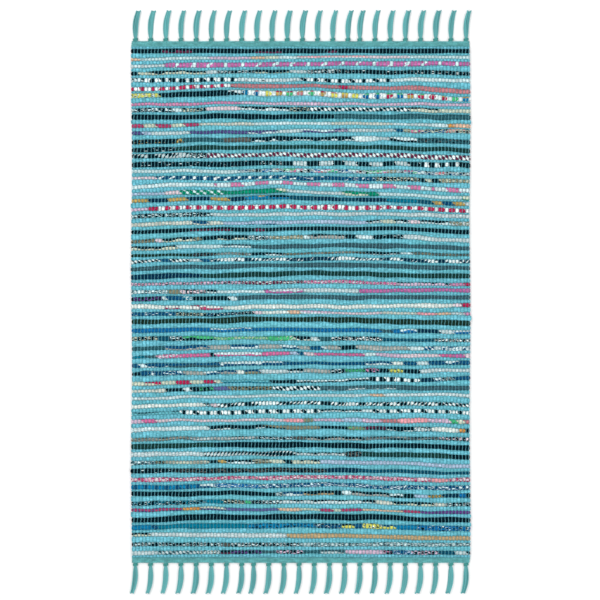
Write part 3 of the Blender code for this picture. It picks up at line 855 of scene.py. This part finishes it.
def rumple(tree, given):
    """A small shift that makes a body uneven."""
    scale = add(tree, "ShaderNodeMath", (1.0, given["Rumple length"]), operation="DIVIDE")
    field = add(tree, "ShaderNodeTexNoise",
                {"Vector": add(tree, "GeometryNodeInputPosition"), "W": given["Seed"], "Scale": scale,
                 "Detail": 1.0}, noise_dimensions="4D")
    centred = add(tree, "ShaderNodeVectorMath", (field.outputs["Color"], (0.5, 0.5, 0.5)),
                  operation="SUBTRACT")
    return add(tree, "ShaderNodeVectorMath", {0: centred, "Scale": given["Rumple depth"]},
               operation="SCALE")


def strand_tree(name, materials):
    """Gives each path a body of the width and height that it carries, and rumples it a little."""
    tree, given = open_strand_tree(name)
    width = carried(tree, "width")
    body = swept_paths(tree, given, width)
    core = carried(tree, "core", "FLOAT_VECTOR")
    moved = add(tree, "ShaderNodeVectorMath", (core, flattened(tree, width, core)), operation="ADD")
    moved = add(tree, "ShaderNodeVectorMath", (moved, rumple(tree, given)), operation="ADD")
    body = add(tree, "GeometryNodeSetPosition", {"Geometry": body, "Position": moved})
    body = add(tree, "GeometryNodeSetShadeSmooth", {"Geometry": body})
    body = add(tree, "GeometryNodeRealizeInstances", {"Geometry": body})
    print_number = carried(tree, "print", "INT")
    for number, material in enumerate(materials):
        chosen = add(tree, "FunctionNodeCompare", {2: print_number, 3: number}, data_type="INT",
                     operation="EQUAL")
        body = add(tree, "GeometryNodeSetMaterial",
                   {"Geometry": body, "Selection": chosen, "Material": material})
    add(tree, "NodeGroupOutput", {"Strands": body})
    return tree


def path_edges(strands, counts):
    """The edges that join each strand's points, and a closed strand's last point to its first."""
    edges, start = [], 0
    for strand, count in zip(strands, counts):
        steps = np.arange(start, start + count - 1)
        edges.append(np.stack([steps, steps + 1], axis=1))
        if strand.closed:
            edges.append(np.array([[start + count - 1, start]]))
        start += count
    return np.concatenate(edges)


def write_points(mesh, name, kind, field, rows, counts=None):
    """Writes an attribute of the path's points. With counts, there is one row for each strand."""
    values = np.concatenate(rows) if counts is None else np.repeat(rows, counts, axis=0)
    values = values.astype(np.int32 if kind == "INT" else np.float32)
    mesh.attributes.new(name, kind, "POINT").data.foreach_set(field, values.ravel())


def paths_mesh(strands, rows):
    """Every strand's path as loose edges, with what the tree and the finish need on each point."""
    counts = [len(strand.points) for strand in strands]
    points = np.concatenate([np.array(strand.points, float) for strand in strands])
    edges = path_edges(strands, counts)
    mesh = bpy.data.meshes.new("paths")
    mesh.vertices.add(len(points))
    mesh.vertices.foreach_set("co", points.astype(np.float32).ravel())
    mesh.edges.add(len(edges))
    mesh.edges.foreach_set("vertices", edges.astype(np.int32).ravel())
    sized = list(zip(strands, counts))
    floats = {
        "width": [strand.width for strand in strands],
        "height": [strand.height for strand in strands],
        "under": [strand.under or strand.width for strand in strands],
        "along": [strand.along for strand in strands],
        "shade": [np.full(count, 1.0) * strand.shade for strand, count in sized],
        "row": [np.full(count, strand.bake.row / rows) for strand, count in sized],
        "run": [np.linspace(strand.bake.start, strand.bake.end, count) for strand, count in sized],
    }
    for name, values in floats.items():
        write_points(mesh, name, "FLOAT", "value", values)
    kinds = [list(RAG_MATERIALS).index(PRINTS[s.rag.print].drawn_by) if s.rag else 0 for s in strands]
    write_points(mesh, "print", "INT", "value", kinds, counts)
    if strands[0].rag:
        for number, name in enumerate(("first", "second", "third")):
            dyes = [linear(DYES[strand.rag.dyes[number]]) for strand in strands]
            write_points(mesh, name, "FLOAT_COLOR", "color", dyes, counts)
        prints = [PRINTS[strand.rag.print] for strand in strands]
        gauges = [(how.repeat / 1000, how.share, how.slant) for how in prints]
        write_points(mesh, "gauge", "FLOAT_VECTOR", "vector", gauges, counts)
    else:
        dyes = [np.broadcast_to(strand.dye, (count, 4)) for strand, count in sized]
        write_points(mesh, "dye", "FLOAT_COLOR", "color", dyes)
    return mesh


def attribute(mesh, name):
    values = np.zeros(len(mesh.vertices), np.float32)
    mesh.attributes[name].data.foreach_get("value", values)
    return values


def lay_out_bake_map(mesh, sides, rows):
    """A UV map of strips, one above the other, on which each strand is unrolled."""
    turn = np.arctan2(attribute(mesh, "lift"), attribute(mesh, "across"))
    side = np.round(turn / (math.tau / sides)).astype(int) % sides
    corner = np.zeros(len(mesh.loops), np.int32)
    mesh.loops.foreach_get("vertex_index", corner)
    first = np.zeros(len(mesh.polygons), np.int32)
    mesh.polygons.foreach_get("loop_start", first)
    total = np.diff(np.append(first, len(corner)))
    # A round's last side closes on its first point, which counts there as one past the last.
    around = side[corner]
    widest = np.repeat(np.maximum.reduceat(around, first), total)
    closing = (widest == sides - 1) & (around == 0) & (np.repeat(total, total) == 4)
    around = np.where(closing, sides, around)
    u = attribute(mesh, "run")[corner]
    v = attribute(mesh, "row")[corner] + around / sides / rows * STRIP_FILL
    layer = mesh.uv_layers.new(name="OFBake")
    layer.data.foreach_set("uv", np.stack([u, v], axis=1).astype(np.float32).ravel())


def make_piece(name, strands, tree, body, rows):
    """A plain mesh of the strands, made by the tree, as a piece of the rug."""
    raw = bpy.data.objects.new("paths", paths_mesh(strands, rows))
    bpy.context.scene.collection.objects.link(raw)
    modifier = raw.modifiers.new("strands", "NODES")
    modifier.node_group = tree
    values = {"Sides": body.sides, "Rumple depth": body.rumple_depth,
              "Rumple length": body.rumple_length, "Seed": SEED}
    for socket in tree.interface.items_tree:
        if socket.name in values:
            modifier[socket.identifier] = values[socket.name]
    bpy.context.view_layer.update()
    graph = bpy.context.evaluated_depsgraph_get()
    mesh = bpy.data.meshes.new_from_object(raw.evaluated_get(graph))
    raw_mesh = raw.data
    bpy.data.objects.remove(raw)
    bpy.data.meshes.remove(raw_mesh)
    lay_out_bake_map(mesh, body.sides, rows)
    for spare in ("core", "lift", "run", "row", "width", "height", "under", "print"):
        mesh.attributes.remove(mesh.attributes[spare])
    piece = bpy.data.objects.new(name, mesh)
    bpy.context.scene.collection.objects.link(piece)
    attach(piece, "root")
    return piece


# ---------------------------------------------------------------- finishes


def new_tree(name):
    material = bpy.data.materials.new(name)
    material.use_nodes = True
    material.node_tree.nodes.clear()
    return material, material.node_tree


def strand_values(tree, numbers, colours):
    """What each point of a strand carries, as sockets with the attributes' own names."""
    values = {}
    for names, output in ((numbers, "Fac"), (colours, "Color")):
        for name in names.split():
            values[name] = add(tree, "ShaderNodeAttribute", attribute_name=name).outputs[output]
    return SimpleNamespace(**values)


def rag_values(tree):
    """What each point of a rag carries, and of its print's gauge the repeat, the share and the slant."""
    on = strand_values(tree, "along across shade", "first second third")
    gauge = add(tree, "ShaderNodeAttribute", attribute_name="gauge").outputs["Vector"]
    on.repeat, on.share, on.slant = add(tree, "ShaderNodeSeparateXYZ", {"Vector": gauge}).outputs
    return on


def noise_place(tree, on, along, spread):
    """A point's place in a noise, which has a part of its own for each strand."""
    across = add(tree, "ShaderNodeMath", (on.across, spread), operation="MULTIPLY")
    own = add(tree, "ShaderNodeMath", (on.shade, NOISE_APART), operation="MULTIPLY")
    return add(tree, "ShaderNodeCombineXYZ", {"X": along, "Y": across, "Z": own})


def patch_place(tree, on, patch):
    """The same place, counted in patches."""
    along = add(tree, "ShaderNodeMath", (on.along, 1 / patch.length), operation="MULTIPLY")
    return noise_place(tree, on, along, patch.spread)


def patches(tree, on, patch):
    """Soft noise from 0 to 1 in such patches."""
    place = patch_place(tree, on, patch)
    return add(tree, "ShaderNodeTexNoise",
               {"Vector": place, "Scale": patch.scale, "Detail": patch.detail})


def repeats(tree, on, wobble):
    """How many repeats along the rag a point lies, with the print's slant and a little wobble."""
    count = add(tree, "ShaderNodeMath", (on.along, on.repeat), operation="DIVIDE")
    count = add(tree, "ShaderNodeMath", (on.across, on.slant, count), operation="MULTIPLY_ADD")
    return add(tree, "ShaderNodeMath", (patches(tree, on, SHAKES), wobble, count), operation="MULTIPLY_ADD")


def split(tree, value, level, above, below):
    """The colour above where the value is over the level, and elsewhere the colour below."""
    mask = add(tree, "ShaderNodeMath", (value, level), operation="GREATER_THAN")
    return add(tree, "ShaderNodeMix", {"Factor": mask, 6: below, 7: above}, data_type="RGBA")


def draw_plain(tree, on):
    """One colour, or two shades of one that the dyer's lots drift between."""
    # Most of a rag is one of the two, with a short stretch between them.
    lot = add(tree, "ShaderNodeMath", (patches(tree, on, LOTS), 3.0, -1.2),
              operation="MULTIPLY_ADD", use_clamp=True)
    return add(tree, "ShaderNodeMix", {"Factor": lot, 6: on.first, 7: on.second}, data_type="RGBA")


def draw_edge(tree, on):
    """Two-tone cloth folded lengthwise, so that one colour shows on each side of the rag."""
    # The noise is about 0.5, which puts the line where it leaves the first colour its share.
    line = add(tree, "ShaderNodeMath", (on.share, -2.0, -0.4), operation="MULTIPLY_ADD")
    line = add(tree, "ShaderNodeMath", (patches(tree, on, FOLDS), 2.8, line), operation="MULTIPLY_ADD")
    return split(tree, on.across, line, on.first, on.second)


def draw_bars(tree, on):
    """Stripes woven or printed across the rag."""
    saw = add(tree, "ShaderNodeMath", (repeats(tree, on, wobble=0.30),), operation="FRACT")
    return split(tree, saw, on.share, on.second, on.first)


def spot_distance(tree, on, phase):
    """How far a point is from the middle of its spot: 1 at the spot's edge."""
    saw = add(tree, "ShaderNodeMath", (phase,), operation="FRACT")
    off = add(tree, "ShaderNodeMath", (saw, 0.5), operation="SUBTRACT")
    off = add(tree, "ShaderNodeMath", (off, on.share), operation="DIVIDE")
    off = add(tree, "ShaderNodeMath", (off, 2.0), operation="MULTIPLY")
    aside = add(tree, "ShaderNodeMath", (on.across, 1.05), operation="MULTIPLY")
    place = add(tree, "ShaderNodeCombineXYZ", {"X": off, "Y": aside})
    return add(tree, "ShaderNodeVectorMath", (place,), operation="LENGTH")


def draw_spots(tree, on):
    """Round spots in a row."""
    return split(tree, spot_distance(tree, on, repeats(tree, on, wobble=0.25)), 1.0, on.second, on.first)


def palette(tree, value, dyes):
    """One of the dyes, picked by a value from 0 to 1."""
    ramp = add(tree, "ShaderNodeValToRGB", {"Fac": value})
    steps = ramp.color_ramp
    steps.interpolation = "CONSTANT"
    for number, dye in enumerate(dyes):
        step = steps.elements[number] if number < 2 else steps.elements.new(number / len(dyes))
        step.position = number / len(dyes)
        step.color = linear(DYES[dye])
    return ramp


def draw_beads(tree, on):
    """Spots of several colours in a row, each with another colour in its upper part."""
    phase = repeats(tree, on, wobble=0.20)
    whole = add(tree, "ShaderNodeMath", (phase,), operation="FLOOR")
    upper = add(tree, "ShaderNodeMath", (on.across, 0.35), operation="GREATER_THAN")
    whole = add(tree, "ShaderNodeMath", (upper, 0.5, whole), operation="MULTIPLY_ADD")
    pick = add(tree, "ShaderNodeTexWhiteNoise", {"W": whole}, noise_dimensions="1D")
    dye = palette(tree, pick.outputs["Value"], BEAD_DYES)
    return split(tree, spot_distance(tree, on, phase), 1.0, on.first, dye)


def draw_pied(tree, on):
    """Slanting bars that run together into blocks here and there, as torn checked cloth gives."""
    saw = add(tree, "ShaderNodeMath", (repeats(tree, on, wobble=0.50),), operation="FRACT")
    # The bars' share swings from block to block, so that they are wide here and narrow there.
    level = add(tree, "ShaderNodeMath", (patches(tree, on, BLOCKS), 0.5), operation="SUBTRACT")
    level = add(tree, "ShaderNodeMath", (level, 3.8, on.share), operation="MULTIPLY_ADD")
    return split(tree, saw, level, on.second, on.first)


def grained(tree, on, first, ground):
    """The first colour in its share of a fine slanting grain, and else the ground."""
    place = noise_place(tree, on, along=repeats(tree, on, wobble=0.0), spread=2.0)
    grain = add(tree, "ShaderNodeTexNoise", {"Vector": place, "Scale": 1.0, "Detail": 1.0})
    # A larger share lowers the level, so that more of the grain is over it.
    level = add(tree, "ShaderNodeMath", (on.share, -0.30, 0.605), operation="MULTIPLY_ADD")
    return split(tree, grain, level, first, ground)


def draw_salt(tree, on):
    """Fine salt-and-pepper cloth, drawn as coarse as a crossing of the weave so that it shows."""
    ground = split(tree, patches(tree, on, FLECKS), 0.56, on.third, on.second)
    return grained(tree, on, on.first, ground)


def draw_bloom(tree, on):
    """A small flower print on a pale ground: its outlines are flecks, in the colour of each flower."""
    place = patch_place(tree, on, FLOWERS)
    cells = add(tree, "ShaderNodeTexVoronoi", {"Vector": place, "Scale": 1.0}, voronoi_dimensions="3D")
    pick = add(tree, "ShaderNodeSeparateColor", {"Color": cells.outputs["Color"]})
    return grained(tree, on, palette(tree, pick.outputs["Red"], FLOWER_DYES), on.first)


def draw_streaks(tree, on):
    """A rag of twisted strips, whose colours run along it."""
    grain = patches(tree, on, STREAKS)
    mixed = split(tree, grain, 0.46, on.third, on.second)
    return split(tree, grain, 0.56, on.first, mixed)


RAG_MATERIALS = {
    "plain": draw_plain,
    "edge": draw_edge,
    "bars": draw_bars,
    "spots": draw_spots,
    "beads": draw_beads,
    "pied": draw_pied,
    "salt": draw_salt,
    "bloom": draw_bloom,
    "streaks": draw_streaks,
}


def rag_cotton(print_name):
    """Cotton jersey torn in strips and beaten in: matt, a little fuzzy, creased along its length.

    It is worn paler in soft patches. Its creases are sunk in and drawn as thin dark lines of painted
    shade, and its flanks are darker with painted shade, where the next rags shade it.
    """
    material, tree = new_tree(f"cotton_jersey_rag_{print_name}")
    on = rag_values(tree)
    worn = add(tree, "ShaderNodeMath", (patches(tree, on, WEAR), 0.90, 0.57), operation="MULTIPLY_ADD")
    worn = add(tree, "ShaderNodeMath", (worn, on.shade), operation="MULTIPLY")
    # Painted shade: thin dark lines along the creases, which the bump also sinks in.
    crease = add(tree, "ShaderNodeMath", (patches(tree, on, CREASES), 0.5), operation="SUBTRACT")
    crease = add(tree, "ShaderNodeMath", (crease,), operation="ABSOLUTE")
    crease = add(tree, "ShaderNodeMath", (crease, 20.0), operation="MULTIPLY", use_clamp=True)
    painted_shade = add(tree, "ShaderNodeMath", (crease, 0.26, 0.84), operation="MULTIPLY_ADD")
    # Painted shade and light: darker on the flanks, where the next rags shade them, and a little lighter on
    # the crown.
    flank = add(tree, "ShaderNodeMath", (on.across, on.across), operation="MULTIPLY")
    flank = add(tree, "ShaderNodeMath", (flank, -0.28, 1.07), operation="MULTIPLY_ADD")
    painted_shade = add(tree, "ShaderNodeMath", (painted_shade, flank), operation="MULTIPLY")
    colour = RAG_MATERIALS[print_name](tree, on)
    for tone in (worn, painted_shade):
        colour = add(tree, "ShaderNodeVectorMath", {0: colour, "Scale": tone}, operation="SCALE")
    relief = add(tree, "ShaderNodeMath", (patches(tree, on, WALES), 0.5, crease), operation="MULTIPLY_ADD")
    bump = add(tree, "ShaderNodeBump", {"Strength": 0.8, "Distance": 0.0008, "Height": relief})
    shader = add(tree, "ShaderNodeBsdfPrincipled", {
        "Base Color": colour, "Roughness": 0.94, "IOR": 1.46, "Specular IOR Level": 0.02,
        "Sheen Weight": 0.006, "Sheen Roughness": 0.5, "Normal": bump})
    add(tree, "ShaderNodeOutputMaterial", {"Surface": shader})
    return material


def cotton_yarn():
    """Plied cotton yarn, dyed teal: matt, with plies that slant along it and loose fibres on them."""
    material, tree = new_tree("plied_cotton_yarn_teal")
    on = strand_values(tree, "along across shade", "dye")
    ply = add(tree, "ShaderNodeMath", (on.along, math.tau / PLY_LENGTH), operation="MULTIPLY")
    ply = add(tree, "ShaderNodeMath", (on.across, 2.2, ply), operation="MULTIPLY_ADD")
    ply = add(tree, "ShaderNodeMath", (ply,), operation="SINE")
    relief = add(tree, "ShaderNodeMath", (patches(tree, on, FIBRES), 0.8, ply), operation="MULTIPLY_ADD")
    # Painted shade and highlight: the tone follows the relief, darker in the grooves between the plies and
    # lighter on their crests; the fibres vary it at random.
    tone = add(tree, "ShaderNodeMath", (relief, 0.19, 0.94), operation="MULTIPLY_ADD")
    tone = add(tree, "ShaderNodeMath", (tone, on.shade), operation="MULTIPLY")
    colour = add(tree, "ShaderNodeVectorMath", {0: on.dye, "Scale": tone}, operation="SCALE")
    bump = add(tree, "ShaderNodeBump", {"Strength": 0.45, "Distance": 0.0004, "Height": relief})
    shader = add(tree, "ShaderNodeBsdfPrincipled", {
        "Base Color": colour, "Roughness": 0.88, "IOR": 1.46, "Specular IOR Level": 0.12,
        "Sheen Weight": 0.04, "Sheen Roughness": 0.5, "Normal": bump})
    add(tree, "ShaderNodeOutputMaterial", {"Surface": shader})
    return material


# ---------------------------------------------------------------- pieces


def weave_picks(tree):
    """The rag picks, in bands one below the other."""
    picks, lines, halves = weft_strands()
    bands = []
    for number, chosen in enumerate(np.array_split(np.arange(len(picks)), BANDS)):
        strands = [
            strand._replace(bake=strand.bake._replace(row=row))
            for row, pick in enumerate(chosen)
            for strand in picks[pick]
        ]
        piece = make_piece(f"weft_{number + 1}", strands, tree, RAG_BODY, len(chosen))
        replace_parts(piece, "woven_field")
        far = lines[chosen[0]].mean() - halves[chosen[0]].mean()
        near = lines[chosen[-1]].mean() + halves[chosen[-1]].mean()
        bands.append((piece, near - far))
    return bands, lines, halves


def weave_warp(tree, lines, halves):
    """The warp ends, in three pieces side by side."""
    dyes = [linted_dyes(pick) for pick in range(len(lines))]
    names = ("left", "middle", "right")
    pieces = []
    for name, chosen in zip(names, np.array_split(np.arange(WARP_ENDS), len(names))):
        strands = [
            warp_strand(int(end), lines, halves, dyes, Bake(row, 0.0, 1.0))
            for row, end in enumerate(chosen)
        ]
        pieces.append(make_piece(f"warp_{name}", strands, tree, WARP_BODY, len(chosen)))
    return pieces


def weave_heading(tree, name, far):
    """The yarn picks at one end of the rug."""
    picks = [heading_strand(number, far, Bake(number, 0.0, 1.0)) for number in range(HEADING_PICKS)]
    piece = make_piece(f"heading_yarn_{name}", picks, tree, HEADING_BODY, HEADING_PICKS)
    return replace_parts(piece, f"heading_{name}")


def knot_fringe(tree, name, far):
    """The tassels at one end of the rug."""
    tassels = fringe_strands(far)
    piece = make_piece(f"fringe_yarn_{name}", tassels, tree, FRINGE_BODY, TASSELS)
    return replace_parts(piece, f"fringe_{name}")


# ---------------------------------------------------------------- stage


def lay_floor():
    bpy.ops.mesh.primitive_plane_add(size=FLOOR_SIZE, location=(0, 0, -FLOOR_DROP))
    floor = bpy.context.object
    floor.name = "floor"
    material, tree = new_tree("matt_white_floor")
    shader = add(tree, "ShaderNodeBsdfPrincipled",
                 {"Base Color": linear("#F7F7F7"), "Roughness": 0.9, "Specular IOR Level": 0.1})
    add(tree, "ShaderNodeOutputMaterial", {"Surface": shader})
    floor.data.materials.append(material)


def hang(lamp):
    """A soft square lamp that faces the middle of the rug."""
    panel = bpy.data.lights.new(lamp.name, "AREA")
    panel.size = lamp.size
    panel.energy = lamp.power
    holder = bpy.data.objects.new(lamp.name, panel)
    holder.location = lamp.place
    holder.rotation_euler = (-Vector(lamp.place)).to_track_quat("-Z", "Y").to_euler()
    bpy.context.scene.collection.objects.link(holder)


def set_stage():
    lay_floor()
    for lamp in LAMPS:
        hang(lamp)
    world = bpy.data.worlds.new("studio")
    world.use_nodes = True
    backdrop = world.node_tree.nodes["Background"]
    backdrop.inputs["Color"].default_value = (1.0, 1.0, 1.0, 1.0)
    backdrop.inputs["Strength"].default_value = WORLD_LIGHT
    bpy.context.scene.world = world
    camera = bpy.data.cameras.new("camera")
    camera.sensor_width = SENSOR
    camera.lens = SENSOR * VIEW_HEIGHT / VIEW_WIDTH
    holder = bpy.data.objects.new("camera", camera)
    holder.location = (*VIEW_CENTRE, VIEW_HEIGHT + FIELD_HIGH.z)
    bpy.context.scene.collection.objects.link(holder)
    bpy.context.scene.camera = holder
    bpy.context.scene.view_settings.view_transform = "Standard"


rag_tree = strand_tree("rag_strands", [rag_cotton(name) for name in RAG_MATERIALS])
yarn_tree = strand_tree("yarn_strands", [cotton_yarn()])
bands, lines, halves = weave_picks(rag_tree)
warp = weave_warp(yarn_tree, lines, halves)
short_ends = (("far", True), ("near", False))
headings = [weave_heading(yarn_tree, *end) for end in short_ends]
fringes = [knot_fringe(yarn_tree, *end) for end in short_ends]
set_stage()
